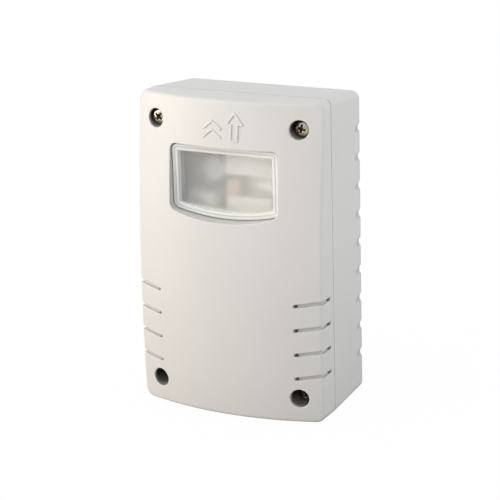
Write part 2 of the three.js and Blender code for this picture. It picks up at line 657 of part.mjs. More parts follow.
// Trimmer: a square body with a slotted rotor that a screwdriver turns.
const TRIMMER = { half: 4.75, height: 4.6, rotorR: 3, rotorBack: 2.5, rotorFront: 5.5 };

function trimmerBody() {
  const { half, height, rotorR, rotorBack } = TRIMMER;
  const well = bar(0, 0, rotorR + TOUCH, rotorBack - TOUCH, height + 1, 24);
  return plate(-half, half, -half, half, 0, height).subtract(well);
}

function trimmerRotor() {
  const { rotorR, rotorBack, rotorFront } = TRIMMER;
  const shoulder = rotorFront - 0.6;
  const disc = turned(
    [[0, rotorBack], [rotorR, rotorBack], [rotorR, shoulder], [rotorR - 0.4, rotorFront], [0, rotorFront]],
    24,
  );
  const slot = plate(-0.45, 0.45, -2.1, 2.1, rotorFront - 1.2, rotorFront + 1);
  const cross = plate(-2.1, 2.1, -0.3, 0.3, rotorFront - 0.7, rotorFront + 1);
  return disc.subtract(slot).subtract(cross);
}

// A can with a rolled bead near its foot.
function electrolyticCapacitor() {
  const [r, top, bead] = [4, 13, 2.1];
  const foot = [[0, 0.4], [r - 0.4, 0.4], [r, 0.9], [r, bead - 0.5], [r - 0.35, bead], [r, bead + 0.5]];
  return turned([...foot, [r, top - 0.4], [r - 0.5, top], [0, top - 0.2]], 24);
}

// A box-shaped part that stands a little off the board.
function box(width, height, front) {
  const standoff = 0.2;
  return plate(-width / 2, width / 2, -height / 2, height / 2, standoff, front);
}

// A dipped disc standing on edge, on two leads.
function varistor() {
  const [r, half, centre] = [4.6, 1.9, 6];
  const profile = [[0, -half], [r - 1, -half], [r, 0.8 - half], [r, half - 0.8], [r - 1, half], [0, half]];
  const lead = (z) => plate(-0.3, 0.3, z - 0.3, z + 0.3, 0, 3.5);
  return union([turned(profile, 20, "x", shifted(0, -centre, 0)), lead(-2.6), lead(2.6)]);
}

function fuse() {
  const [r, top] = [4.2, 7.9];
  return turned([[0, 0.3], [r - 0.2, 0.3], [r, 0.8], [r, top - 0.5], [r - 0.4, top], [0, top]], 24);
}

// A moulded chip with a leg at each z on both sides.
function chip(height, back, front, legZ, legHeight) {
  const half = 3.2;
  const body = plate(-half, half, -height / 2, height / 2, back, front);
  const legs = [-1, 1].flatMap((s) =>
    legZ.map((z) => {
      const x = s * (half + 0.4);
      return plate(x - 0.5, x + 0.5, z - 0.3, z + 0.3, 0, legHeight);
    }),
  );
  return union([body, ...legs]);
}
const comparatorChip = () => chip(9.6, 0.5, 3.8, [-3.81, -1.27, 1.27, 3.81], 2.3);
const bridgeRectifier = () => chip(8.4, 0.4, 3.2, [-2.5, 2.5], 2);

// A small plastic transistor: round at the back, flat in front, on three legs.
function transistor() {
  const [r, low, top, pitch, leg] = [2.4, 2.4, 7, 1.27, 0.22];
  const round = bar(0, 0, r, low, top, 20).intersect(plate(-r - 1, r + 1, -1.3, r + 1, 0, top + 1));
  const legs = [-pitch, 0, pitch].map((x) => plate(x - leg, x + leg, -leg, leg, 0, low + 0.2));
  return union([round, ...legs]);
}

// An axial part lying along z: a round body with a lead bent down to the board at each end.
function axial(r, halfLength) {
  const leadR = 0.35;
  const height = r + 0.3;
  const taper = halfLength * 0.8;
  const neck = r * 0.8;
  const end = halfLength + 1.6;
  const half = [[r, taper], [neck, halfLength], [0, halfLength]];
  const profile = [...half.map(([radius, z]) => [radius, -z]).reverse(), ...half];
  const body = turned(profile, 16, "z", shifted(0, -height, 0));
  const wire = plate(-leadR, leadR, -end, end, height - leadR, height + leadR);
  const feet = [-end, end - 2 * leadR].map((z) => plate(-leadR, leadR, z, z + 2 * leadR, 0, height));
  return union([body, wire, ...feet]);
}

// ---------------------------------------------------------------- materials and scene graph

const paint = (color, roughness, metalness = 0, extra = {}) =>
  new THREE.MeshStandardMaterial({ color, roughness, metalness, ...extra });
const MATERIAL = {
  casing: paint(0xdedcd5, 0.5),
  lens: paint(0xe3e8e5, 0.25, 0, { transparent: true, opacity: 0.55 }),
  rubber: paint(0x2b2b2b, 0.8),
  screw: paint(0xb6aa92, 0.3, 1),
  board: paint(0xd9d2bd, 0.6),
  steel: paint(0xb9bcc0, 0.35, 1),
  brass: paint(0xc9a255, 0.35, 1),
  copper: paint(0xb5663a, 0.4, 0.8),
  block: paint(0x6f8f86, 0.5),
  white: paint(0xe9e7e0, 0.45),
  black: paint(0x222326, 0.5),
  photocell: paint(0xb5564a, 0.4),
  blue: paint(0x2f57a8, 0.4),
  alloy: paint(0xc4c6c8, 0.35, 0.9),
  resistor: paint(0xc9b48c, 0.5),
};

const unit = new THREE.Group();

function add(parent, name, made, material, x = 0, y = 0, z = 0) {
  const mesh = new THREE.Mesh(geometryOf(made), MATERIAL[material]);
  mesh.name = name;
  mesh.position.set(x, y, z);
  parent.add(mesh);
  return mesh;
}

add(unit, "rear_housing", rearHousing(), "casing");
add(unit, "cover_seal", coverSeal(), "rubber");
for (const [name, s] of [["left", -1], ["right", 1]]) {
  const outerFace = -HEIGHT / 2 + DRAFT_BOTTOM * (1 - ENTRY.depth / SEAM_DEPTH);
  const place = [s * ENTRY.x, -ENTRY.depth, outerFace];
  const grommet = add(unit, `cable_grommet_${name}`, cableGrommet(), "rubber", ...place);
  grommet.rotation.x = Math.atan2(DRAFT_BOTTOM, SEAM_DEPTH);
}

const cover = new THREE.Group();
unit.add(cover);
add(cover, "front_cover", frontCover(), "casing");
add(cover, "window_lens", windowLens(), "lens");
add(cover, "lens_seal", lensSeal(), "rubber");
for (const [name, x, z] of screwPlaces) {
  add(cover, `cover_screw_${name}`, screw(COVER_SCREW), "screw", x, -HEAD_SEAT_DEPTH, z);
}

const board = new THREE.Group();
board.position.y = -BOARD.frontDepth;
unit.add(board);
add(board, "circuit_board", circuitBoard(), "board");
add(board, "board_screw_upper", screw(BOARD_SCREW), "steel", -BOARD_POST_X, 0, BOARD_POST_Z);
add(board, "board_screw_lower", screw(BOARD_SCREW), "steel", BOARD_POST_X, 0, -BOARD_POST_Z);

const terminals = new THREE.Group();
terminals.position.z = -27;
board.add(terminals);
add(terminals, "terminal_housing", terminalHousing(), "block");
for (let i = 0; i < POLES; i++) {
  add(terminals, `terminal_clamp_${i + 1}`, terminalClamp(), "steel", poleX(i));
  add(terminals, `terminal_bar_${i + 1}`, terminalBar(), "brass", poleX(i));
  add(terminals, `terminal_screw_${i + 1}`, terminalScrew(), "steel", poleX(i));
}

const relay = new THREE.Group();
relay.position.set(4.85, 0, 8.5);
board.add(relay);
add(relay, "relay_case", relayCase(), "white");
add(relay, "relay_base", relayBase(), "black");
add(relay, "relay_yoke", relayYoke(), "steel");
add(relay, "relay_core", relayCore(), "steel");
add(relay, "relay_bobbin", relayBobbin(), "white");
add(relay, "relay_coil", relayCoil(), "copper");
add(relay, "relay_armature", relayArmature(), "steel");
add(relay, "relay_contact_spring", relaySpring(), "brass");
add(relay, "relay_contact_open", relayContactOpen(), "brass");
add(relay, "relay_contact_closed", relayContactClosed(), "brass");

const photocell = new THREE.Group();
photocell.position.set(-1.2, 0, 20.7);
board.add(photocell);
add(photocell, "photocell_body", photocellBody(), "photocell");
add(photocell, "photocell_spacer", photocellSpacer(), "white");
add(photocell, "photocell_lead_left", photocellLead(), "steel", -PHOTOCELL.leadX);
add(photocell, "photocell_lead_right", photocellLead(), "steel", PHOTOCELL.leadX);

const trimmer = new THREE.Group();
trimmer.position.set(20, 0, 24.9);
board.add(trimmer);
add(trimmer, "trimmer_body", trimmerBody(), "blue");
add(trimmer, "trimmer_rotor", trimmerRotor(), "white");

add(board, "film_capacitor", box(9.5, 18, 15), "white", -12.25, 0, 9);
add(board, "suppression_capacitor", box(18, 8, 15), "white", 5.7, 0, 28.6);
add(board, "coupling_capacitor", box(10, 4.5, 11), "white", 7.1, 0, 21.15);
add(board, "electrolytic_capacitor", electrolyticCapacitor(), "alloy", -8.5, 0, 25.2);
add(board, "varistor", varistor(), "blue", 18.5, 0, -12);
add(board, "fuse", fuse(), "black", -18.5, 0, -12);
add(board, "bridge_rectifier", bridgeRectifier(), "black", -6.5, 0, -12);
add(board, "comparator_chip", comparatorChip(), "black", 19.6, 0, 13.6);
add(board, "switching_transistor", transistor(), "black", 19, 0, 3);
add(board, "zener_diode", axial(1.3, 2.5), "black", -21.4, 0, 24.5);
add(board, "flyback_diode", axial(1.3, 2.6), "black", 14.4, 0, 4);
add(board, "dropper_resistor", axial(2, 5.5), "resistor", -21.4, 0, 9);
add(board, "bias_resistor", axial(1.2, 3.1), "resistor", -16.5, 0, 26);
add(board, "feedback_resistor", axial(1.2, 3.1), "resistor", 6, 0, -12);

export default unit;
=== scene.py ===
"""Looks for the coop door's light-sensing control unit: mouldings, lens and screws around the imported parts.

The casing, the lens and the cover screws are distance fields turned into meshes, so every edge carries the
small radius that a moulding has. Lengths inside the fields are millimetres. x runs to the right, d is the
depth in front of the wall (d = -y) and z runs up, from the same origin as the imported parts.
"""

import json
import math

import bpy
import numpy as np
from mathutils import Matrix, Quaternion, Vector


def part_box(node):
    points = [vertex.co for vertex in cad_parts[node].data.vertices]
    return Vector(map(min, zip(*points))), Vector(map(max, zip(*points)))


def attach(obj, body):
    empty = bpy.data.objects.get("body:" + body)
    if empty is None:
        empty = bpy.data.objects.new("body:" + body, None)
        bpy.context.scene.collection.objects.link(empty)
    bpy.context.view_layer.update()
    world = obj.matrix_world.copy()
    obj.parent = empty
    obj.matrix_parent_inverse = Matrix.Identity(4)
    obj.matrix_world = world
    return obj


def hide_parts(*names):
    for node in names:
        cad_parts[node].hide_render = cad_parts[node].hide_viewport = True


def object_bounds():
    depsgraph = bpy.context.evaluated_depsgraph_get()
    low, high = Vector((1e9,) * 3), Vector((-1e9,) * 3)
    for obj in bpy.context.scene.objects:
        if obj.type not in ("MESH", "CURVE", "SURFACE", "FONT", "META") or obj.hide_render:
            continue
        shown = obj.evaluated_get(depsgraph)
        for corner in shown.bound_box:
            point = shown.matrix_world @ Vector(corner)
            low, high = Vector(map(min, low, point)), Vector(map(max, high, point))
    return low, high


MM = 0.001
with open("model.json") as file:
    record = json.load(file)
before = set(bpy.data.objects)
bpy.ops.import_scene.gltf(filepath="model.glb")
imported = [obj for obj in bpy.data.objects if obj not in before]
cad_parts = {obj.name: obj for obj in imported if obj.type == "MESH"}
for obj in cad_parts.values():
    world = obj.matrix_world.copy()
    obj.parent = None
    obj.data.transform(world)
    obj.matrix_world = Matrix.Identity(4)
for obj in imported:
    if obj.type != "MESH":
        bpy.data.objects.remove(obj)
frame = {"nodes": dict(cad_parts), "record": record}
cad_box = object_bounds()
nodes = frame["nodes"]


def span(node):
    """Lowest and highest x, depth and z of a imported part, in millimetres."""
    low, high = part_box(node)
    return (low.x / MM, high.x / MM), (-high.y / MM, -low.y / MM), (low.z / MM, high.z / MM)


# ---------------------------------------------------------------- sizes, from the frame where it gives them

(_, FRONT_RIGHT), (_, DEPTH), (_, _) = span("front_cover")
(_, BOX_RIGHT), (_, HOUSING_RIM), (_, BOX_TOP) = span("rear_housing")
FRONT_HIGH = BOX_TOP - 0.2  # half height of the cover at its front edge
(_, _), (LENS_BACK, LENS_BORDER), (_, _) = span("window_lens")
(_, _), (SEAL_BACK, LENS_LEDGE), (_, _) = span("lens_seal")
(_, _), (BOARD_BACK, _), (_, _) = span("circuit_board")
(SCREW_LEFT, SCREW_RIGHT), (SCREW_POINT, SCREW_TOP), (SCREW_LOW, SCREW_HIGH) = span("cover_screw_top_right")
SEAM_GAP = 0.3
SEAM_LINE = HOUSING_RIM + SEAM_GAP / 2
COVER_REAR = HOUSING_RIM + SEAM_GAP

WALL = 2.4
INNER_R = 1.0  # corners of the hollows
FILLET_R = 0.6  # where bosses and posts meet a wall
CORNER_R, SEAM_CORNER_R, REAR_CORNER_R = 3.0, 2.0, 2.6  # front edge, seam and wall
FRONT_EDGE_R = 0.9
BACK_EDGE_R = 0.4
MOULD_EDGE_R = 0.12  # edges left by the mould's parting line
WELL_RIM_R, WINDOW_RIM_R, GROOVE_RIM_R, SLOT_RIM_R, NOTCH_RIM_R = 0.25, 0.35, 0.15, 0.2, 0.25
BOW_X, BOW_Z, BOW_CENTRE_Z = 5.5, 2.2, -21.4
DRAFT_X, DRAFT_TOP, DRAFT_BOTTOM = 0.75, 1.8, 0.8
SCREW_X, SCREW_Z = (SCREW_LEFT + SCREW_RIGHT) / 2, (SCREW_LOW + SCREW_HIGH) / 2
HEAD_R, HEAD_H = (SCREW_RIGHT - SCREW_LEFT) / 2, 2.5
SHANK_R, THREAD_PITCH, THREAD_DEEP = 1.45, 0.9, 0.3
SEAT = SCREW_TOP - 2.2  # under the head; 0.04 deeper than packed, as the recess cuts off the dome's tip
SCREW_HOLE_R = 1.75
RECESS_R, RECESS_TAPER, RECESS_FLOOR, RECESS_MIDDLE_R = 1.5, 0.30, 0.75, 0.75
ARM_HALF, ARM_TAPER = 0.36, 0.16
WELL_R = 2.9
BOSS_R, POST_R = 4.75, 4.0
TONGUE_INSET, TONGUE_HALF, TONGUE_REACH = 2.0, 0.4, 1.2  # the cover's lip inside the housing's rim
WINDOW = {"half": 18.3, "top": 34.7, "side": 14.6, "bottom": 12.1, "corner": 2.0}
FRAME_WIDTH, POCKET_WIDTH, FLANGE_WIDTH = 4.2, 2.5, 2.2  # round the window's outline
PANE_DEPTH = LENS_BORDER - 1.0
PANE_INSET = 2.3  # from the window's outline to the sunken pane
BORDER_LINE = 1.25  # from the outline to the fine groove in the lens's border
GROOVE_ROWS = (-12.0, -19.7, -27.5, -35.2)
GROOVE_HALF, GROOVE_DEEP = 0.55, 1.1
GROOVE_START_X, GROOVE_END_DEPTH = 23.4, 25.6
GROOVE_RISE, GROOVE_FALL = 0.17, 0.06  # outwards, and towards the wall
GROOVE_PIT_R, GROOVE_PIT_DEEP = 0.5, 1.5  # the deeper spot at both ends of a groove
NOTCH_COUNT, NOTCH_PITCH = 9, 9.1
BOARD_POST_X, BOARD_POST_Z, BOARD_POST_R = 21.5, 32.5, 3.0
PEG_R, PEG_HIGH, PILOT_R = 1.2, 2.4, 1.5
REBATE = 2.25
SLOT_R, SLOT_STRETCH, SLOT_Z = 2.1, 1.6, 41.5
ENTRY_X, ENTRY_DEPTH, ENTRY_R = 13.0, 11.0, 5.0
MARK_STROKE, MARK_HEIGHT = 0.55, 0.35
ARROW = {"x": 4.55, "tip": 46.2, "head": 41.9, "foot": 37.1, "head_half": 3.0, "shaft_half": 1.35}
CHEVRON = {"x": -2.9, "low": (38.4, 41.0), "half": 2.9, "rise": 2.3}


# ---------------------------------------------------------------- distance fields

def smooth_and(a, b, r):
    """Intersection whose outside edge is rounded to radius r."""
    return np.minimum(-r, np.maximum(a, b)) + np.hypot(np.maximum(a + r, 0), np.maximum(b + r, 0))


def smooth_cut(a, b, r):
    """a without b, with the rim rounded to radius r."""
    return smooth_and(a, -b, r)


def smooth_or(a, b, r):
    """Union with a fillet of radius r in the inside corner."""
    return np.maximum(r, np.minimum(a, b)) - np.hypot(np.maximum(r - a, 0), np.maximum(r - b, 0))


def rounded_box(x, z, half_x, half_z, r):
    qx = np.abs(x) - half_x + r
    qz = np.abs(z) - half_z + r
    return np.hypot(np.maximum(qx, 0), np.maximum(qz, 0)) + np.minimum(np.maximum(qx, qz), 0) - r


def opposite_discs(x, z, cx, cz, r):
    """Two discs, mirrored through the origin."""
    return np.minimum(np.hypot(x + cx, z + cz), np.hypot(x - cx, z - cz)) - r


def corners(x, z, cx, cz, r):
    """Four discs, one in each quarter."""
    return np.hypot(np.abs(x) - cx, np.abs(z) - cz) - r


def front_depth(x, z):
    return DEPTH - BOW_X * (x / BOX_RIGHT) ** 2 - BOW_Z * ((z - BOW_CENTRE_Z) / BOX_TOP) ** 2


def window(x, z, grow=0.0):
    """The window's outline, offset outwards by grow."""
    half = WINDOW["half"]
    lower = WINDOW["side"] - (WINDOW["side"] - WINDOW["bottom"]) * (1 - (x / half) ** 2)
    r = WINDOW["corner"]
    upper = smooth_and(np.abs(x) - half, z - WINDOW["top"], r)
    return smooth_and(upper, lower - z, r) - grow


def cover_sides(x, d, z):
    """The cover's outline, which widens and shortens a little from the seam to the front edge."""
    rim = front_depth(BOX_RIGHT, z) - COVER_REAR
    flare = np.clip((d - COVER_REAR) / rim, 0, 1)
    half_x = BOX_RIGHT + (FRONT_RIGHT - BOX_RIGHT) * flare
    half_z = BOX_TOP + (FRONT_HIGH - BOX_TOP) * flare
    return rounded_box(x, z, half_x, half_z, SEAM_CORNER_R + (CORNER_R - SEAM_CORNER_R) * flare)


def housing_sides(x, d, z):
    """The housing's outline, which narrows towards the wall."""
    share = 1 - d / SEAM_LINE
    corner = SEAM_CORNER_R + (REAR_CORNER_R - SEAM_CORNER_R) * share
    centre = (DRAFT_BOTTOM - DRAFT_TOP) / 2 * share
    half_z = BOX_TOP - (DRAFT_BOTTOM + DRAFT_TOP) / 2 * share
    return rounded_box(x, z - centre, BOX_RIGHT - DRAFT_X * share, half_z, corner)


def stroke(x, z, points):
    """Distance to a chain of straight lines."""
    nearest = np.full(x.shape, np.inf)
    for (ax, az), (bx, bz) in zip(points, points[1:]):
        along = ((x - ax) * (bx - ax) + (z - az) * (bz - az)) / ((bx - ax) ** 2 + (bz - az) ** 2)
        along = np.clip(along, 0, 1)
        nearest = np.minimum(nearest, np.hypot(x - ax - along * (bx - ax), z - az - along * (bz - az)))
    return nearest


def mounting_mark(x, z):
    """Distance to the raised strokes: an outlined arrow and two chevrons."""
    half = MARK_STROKE / 2
    wide = ARROW["head_half"] - 1.6 * half
    shaft = ARROW["shaft_half"] - half
    head, foot = ARROW["head"] + half, ARROW["foot"] + half
    side = [(wide, head), (shaft, head), (shaft, foot)]
    ring = [(0, ARROW["tip"] - 1.8 * half), *side, *((-px, pz) for px, pz in reversed(side))]
    ring = [(ARROW["x"] + px, pz) for px, pz in ring + ring[:1]]
    far = np.full(x.shape, 10.0)
    near = (np.abs(x) < 10) & (z > 34)
    lines = [ring]
    for low in CHEVRON["low"]:
        base = low - 0.65 * MARK_STROKE
        cx, reach = CHEVRON["x"], CHEVRON["half"]
        lines.append([(cx - reach, base), (cx, base + CHEVRON["rise"]), (cx + reach, base)])
    far[near] = np.min([stroke(x[near], z[near], points) for points in lines], axis=0) - half
    return far


def off_groove(x, d, z):
    """Height above the middle line of the nearest finger groove, which climbs outwards."""
    run = np.abs(x) - GROOVE_START_X
    climb = GROOVE_RISE * run - GROOVE_FALL * (front_depth(GROOVE_START_X, z) - d)
    return np.min([np.abs(z - row - climb) for row in GROOVE_ROWS], axis=0)


def groove(x, d, z, body):
    """The finger grooves: a round-bottomed channel that keeps its depth as it turns the corner."""
    nearest = off_groove(x, d, z)
    past_start = np.maximum(GROOVE_START_X - np.abs(x), 0)
    past_end = np.maximum(GROOVE_END_DEPTH - d, 0)
    across = np.sqrt(nearest**2 + past_start**2 + past_end**2)
    channel = np.hypot(across, np.minimum(body + GROOVE_DEEP - GROOVE_HALF, 0)) - GROOVE_HALF
    return np.minimum(channel, groove_pits(x, d, z, body))


def groove_pits(x, d, z, body):
    """A round, deeper spot at both ends of each groove."""
    nearest = off_groove(x, d, z)
    front_end = np.maximum(np.hypot(np.abs(x) - GROOVE_START_X, nearest), GROOVE_END_DEPTH + 2 - d)
    side_end = np.maximum(np.hypot(d - GROOVE_END_DEPTH, nearest), GROOVE_START_X + 2 - np.abs(x))
    return np.maximum(np.minimum(front_end, side_end) - GROOVE_PIT_R, -body - GROOVE_PIT_DEEP)


def front_cover(x, d, z):
    below_front = d - front_depth(x, z)
    sides = cover_sides(x, d, z)
    body = smooth_and(sides, below_front, FRONT_EDGE_R)
    inner = rounded_box(x, z, BOX_RIGHT - WALL, BOX_TOP - WALL, INNER_R)
    hollow = smooth_and(inner, below_front + WALL, INNER_R)
    solid = np.maximum(body, -hollow)
    solid = smooth_or(solid, np.maximum(corners(x, z, SCREW_X, SCREW_Z, BOSS_R), body), FILLET_R)
    window_frame = np.maximum(np.maximum(window(x, z, FRAME_WIDTH), LENS_BACK + 0.6 - d), body)
    solid = smooth_or(solid, window_frame, 0.5)
    mark = smooth_and(mounting_mark(x, z), below_front - MARK_HEIGHT, MOULD_EDGE_R)
    body = np.minimum(body, np.maximum(mark, -1 - below_front))
    solid = np.maximum(np.minimum(solid, np.maximum(mark, -1 - below_front)), body)
    solid = smooth_and(solid, COVER_REAR - d, MOULD_EDGE_R)
    tongue = np.maximum(np.abs(sides + TONGUE_INSET) - TONGUE_HALF, np.abs(d - COVER_REAR) - TONGUE_REACH)
    solid = np.minimum(solid, tongue)
    well = np.maximum(corners(x, z, SCREW_X, SCREW_Z, WELL_R), SEAT - d)
    solid = smooth_cut(solid, well, WELL_RIM_R)
    solid = np.maximum(solid, -corners(x, z, SCREW_X, SCREW_Z, SCREW_HOLE_R))
    solid = smooth_cut(solid, np.maximum(window(x, z), LENS_LEDGE - 1 - d), WINDOW_RIM_R)
    solid = np.maximum(solid, -np.maximum(window(x, z, POCKET_WIDTH), d - LENS_LEDGE))
    return smooth_cut(solid, groove(x, d, z, body), GROOVE_RIM_R)


def rear_housing(x, d, z):
    sides = housing_sides(x, d, z)
    body = smooth_and(sides, -d, BACK_EDGE_R)
    cavity = smooth_and(sides + WALL, WALL - d, INNER_R)
    solid = np.maximum(body, -cavity)
    post_top = d - HOUSING_RIM + REBATE
    screw_post = np.maximum(corners(x, z, SCREW_X, SCREW_Z, POST_R), np.maximum(post_top, body))
    solid = smooth_or(solid, screw_post, FILLET_R)
    board_post = corners(x, z, BOARD_POST_X, BOARD_POST_Z, BOARD_POST_R)
    board_post = np.maximum(board_post, np.maximum(d - BOARD_BACK, 1 - d))
    solid = np.maximum(smooth_or(solid, board_post, FILLET_R), body)
    pegs = opposite_discs(x, z, BOARD_POST_X, BOARD_POST_Z, PEG_R)
    solid = np.minimum(solid, np.maximum(pegs, np.maximum(d - BOARD_BACK - PEG_HIGH, 1 - d)))
    solid = smooth_and(solid, d - HOUSING_RIM, MOULD_EDGE_R)
    solid = np.maximum(solid, -np.maximum(sides + 1.3, -post_top))
    solid = np.maximum(solid, -np.maximum(corners(x, z, SCREW_X, SCREW_Z, SCREW_HOLE_R), 6 - d))
    pilots = opposite_discs(x, z, BOARD_POST_X, -BOARD_POST_Z, PILOT_R)
    solid = np.maximum(solid, -np.maximum(pilots, 3 - d))
    solid = smooth_cut(solid, np.maximum(wall_slots(x, z), d - 5), SLOT_RIM_R)
    entry = np.maximum(np.hypot(np.abs(x) - ENTRY_X, d - ENTRY_DEPTH) - ENTRY_R, z + BOX_TOP - 5)
    solid = smooth_cut(solid, entry, SLOT_RIM_R)
    return smooth_cut(solid, notches(x, d, z), NOTCH_RIM_R)


def wall_slots(x, z):
    """The two slots that the box hangs on."""
    return np.hypot(np.maximum(np.abs(x) - SLOT_STRETCH, 0), np.abs(z) - SLOT_Z) - SLOT_R


def notches(x, d, z):
    """Scallops in the rear side edges, deepest at the wall and running out along the side."""
    r, bite, run_out = 1.9, 0.75, 4.0
    half = (NOTCH_COUNT - 1) / 2
    row = np.clip(np.round(z / NOTCH_PITCH), -half, half) * NOTCH_PITCH
    lean = math.atan2(bite + DRAFT_X * run_out / SEAM_LINE, run_out)
    out = np.abs(x) - (BOX_RIGHT - DRAFT_X + r - bite) - d * math.tan(lean)
    return np.hypot(out * math.cos(lean), z - row) - r


def window_lens(x, d, z):
    plate = smooth_and(window(x, z, -0.25), d - LENS_BORDER, 0.3)
    plate = np.maximum(plate, LENS_BACK - d)
    flange = np.maximum(window(x, z, FLANGE_WIDTH), np.maximum(LENS_BACK - d, d - SEAL_BACK))
    solid = np.minimum(plate, flange)
    sink = np.maximum(window(x, z, -PANE_INSET), PANE_DEPTH - d)
    solid = smooth_cut(solid, sink, 0.3)
    line = np.hypot(window(x, z, -BORDER_LINE), d - LENS_BORDER) - 0.2
    return smooth_cut(solid, line, 0.08)


def cover_screw(x, d, z):
    """A pan head with a tapered cross recess on a threaded shank. d = 0 is the head's seat."""
    r = np.hypot(x, z)
    dome_r = 5.0
    dome = np.hypot(r, d - HEAD_H + dome_r) - dome_r
    head = smooth_and(np.maximum(r - HEAD_R, -d), dome, 0.35)
    taper = RECESS_TAPER * np.maximum(HEAD_H - d, 0)
    arm = ARM_HALF - ARM_TAPER * np.maximum(HEAD_H - d, 0)
    wing_x = np.maximum(np.abs(x) - RECESS_R + taper, np.abs(z) - arm)
    wing_z = np.maximum(np.abs(z) - RECESS_R + taper, np.abs(x) - arm)
    middle = r - RECESS_MIDDLE_R + taper
    recess = np.maximum(np.minimum(np.minimum(wing_x, wing_z), middle), RECESS_FLOOR - d)
    head = smooth_cut(head, recess, 0.06)
    length = SEAT - SCREW_POINT
    turn = (d / THREAD_PITCH - np.arctan2(z, x) / (2 * math.pi)) % 1
    ridge = np.clip(1 - np.abs(turn - 0.5) * 3.2, 0, 1) * np.clip((-d - 1.2) / 1.5, 0, 1)
    point = np.clip((d + length) / 2.3, 0.0, 1.0)
    shank_r = (SHANK_R - THREAD_DEEP + THREAD_DEEP * ridge) * (0.25 + 0.75 * point)
    shank = np.maximum((r - shank_r) * 0.8, np.maximum(d - 0.2, -length - d))
    return np.minimum(head, shank)


# ---------------------------------------------------------------- where shade is painted

def fade(value, start, stop):
    """0 at start, 1 at stop and beyond."""
    return np.clip((value - start) / (stop - start), 0, 1)


def seam_shade(z):
    """The seam looks darker in its upper half."""
    return 0.28 + 0.2 * fade(z, 10, 45)


def cover_painted_shade(x, d, z):
    """Painted shade inside the wells, along the window's opening, in the grooves and in the seam."""
    depth_below = front_depth(x, z) - d
    away = corners(x, z, SCREW_X, SCREW_Z, 0)
    cx, cz = np.sign(x) * SCREW_X, np.sign(z) * SCREW_Z
    lit_side = ((x - cx) - (z - cz)) / (math.sqrt(2) * WELL_R)
    # Painted shade in the screw wells, strongest on the side turned away from the light.
    well = fade(away, WELL_R + 0.35, WELL_R + 0.1) * fade(depth_below, 0.2, 1.1) * (0.74 - 0.34 * lit_side)
    # Painted shade along the window's opening, strongest on the left and top walls, which face away from the
    # light.
    left, top = -WINDOW["half"], WINDOW["top"]
    shaded_side = np.maximum(fade(x, left + 2, left), fade(z, top - 1, top))
    lip = fade(depth_below, 0.1, 0.25) * (0.06 + 0.4 * fade(depth_below, 0.7, 0.4))
    opening = fade(window(x, z), 0.25, 0.02) * lip * np.maximum(shaded_side, 0.1)
    # Painted shade in the seam between cover and housing.
    seam = fade(d, COVER_REAR + 0.12, COVER_REAR - 0.02) * seam_shade(z)
    # Painted shade in the finger grooves, darkest in the deeper spots at both ends.
    skin = skin_distance_in_grooves(x, d, z)
    from_front_end = np.hypot(np.abs(x) - GROOVE_START_X, 0.2 * (front_depth(x, z) - d))
    from_side_end = np.hypot(d - GROOVE_END_DEPTH, 0.2 * (FRONT_RIGHT - np.abs(x)))
    ends = fade(np.minimum(from_front_end, from_side_end), 0.75, 0.45)
    channel = 0.14 * fade(skin, -0.25, -0.8) + 0.6 * ends * fade(skin, -0.3, -1.2)
    return np.max([well, opening, seam, channel], axis=0)


def skin_distance_in_grooves(x, d, z):
    """Distance to the untouched skin for points in a groove: negative below it, 0 elsewhere."""
    body = smooth_and(cover_sides(x, d, z), d - front_depth(x, z), FRONT_EDGE_R)
    in_row = off_groove(x, d, z) < GROOVE_HALF + 0.1
    reached = (np.abs(x) > GROOVE_START_X - 1) & (d > GROOVE_END_DEPTH - 1)
    return np.where(in_row & reached, body, 0)


def housing_painted_shade(x, d, z):
    """Painted shade in the seam, the wall slots and the scallops."""
    seam = fade(d, HOUSING_RIM - 0.12, HOUSING_RIM + 0.02) * seam_shade(z)
    slots = fade(wall_slots(x, z), 0.3, 0.05) * fade(d, 0.2, 1.0) * fade(d, 5.0, 4.9)
    bites = fade(notches(x, d, z), 0.2, 0.02) * fade(np.abs(x), BOX_RIGHT - 3, BOX_RIGHT - 2)
    return np.max([seam, 0.5 * slots, 0.25 * bites], axis=0)


def screw_painted_shade(x, d, z):
    """Painted shade in the cross recess."""
    return 0.22 * fade(HEAD_H - d - 0.04 * (x**2 + z**2), 0.25, 0.9) * (np.hypot(x, z) < 1.6) * (d > 0)


def no_painted_shade(x, d, z):
    return np.zeros_like(x)


# ---------------------------------------------------------------- fields to meshes

def grid_lines(low, high, step, fine):
    """Where the grid is cut along one axis. fine lists (from, to, step) stretches."""
    cuts = {low, high}
    for start, stop, _ in fine:
        cuts |= {start, stop}
    cuts = sorted(cuts)
    lines = []
    for start, stop in zip(cuts, cuts[1:]):
        here = step
        for first, last, fine_step in fine:
            if first <= start and stop <= last:
                here = fine_step
        count = max(1, round((stop - start) / here))
        lines += list(np.linspace(start, stop, count, endpoint=False))
    return np.array(lines + [high])


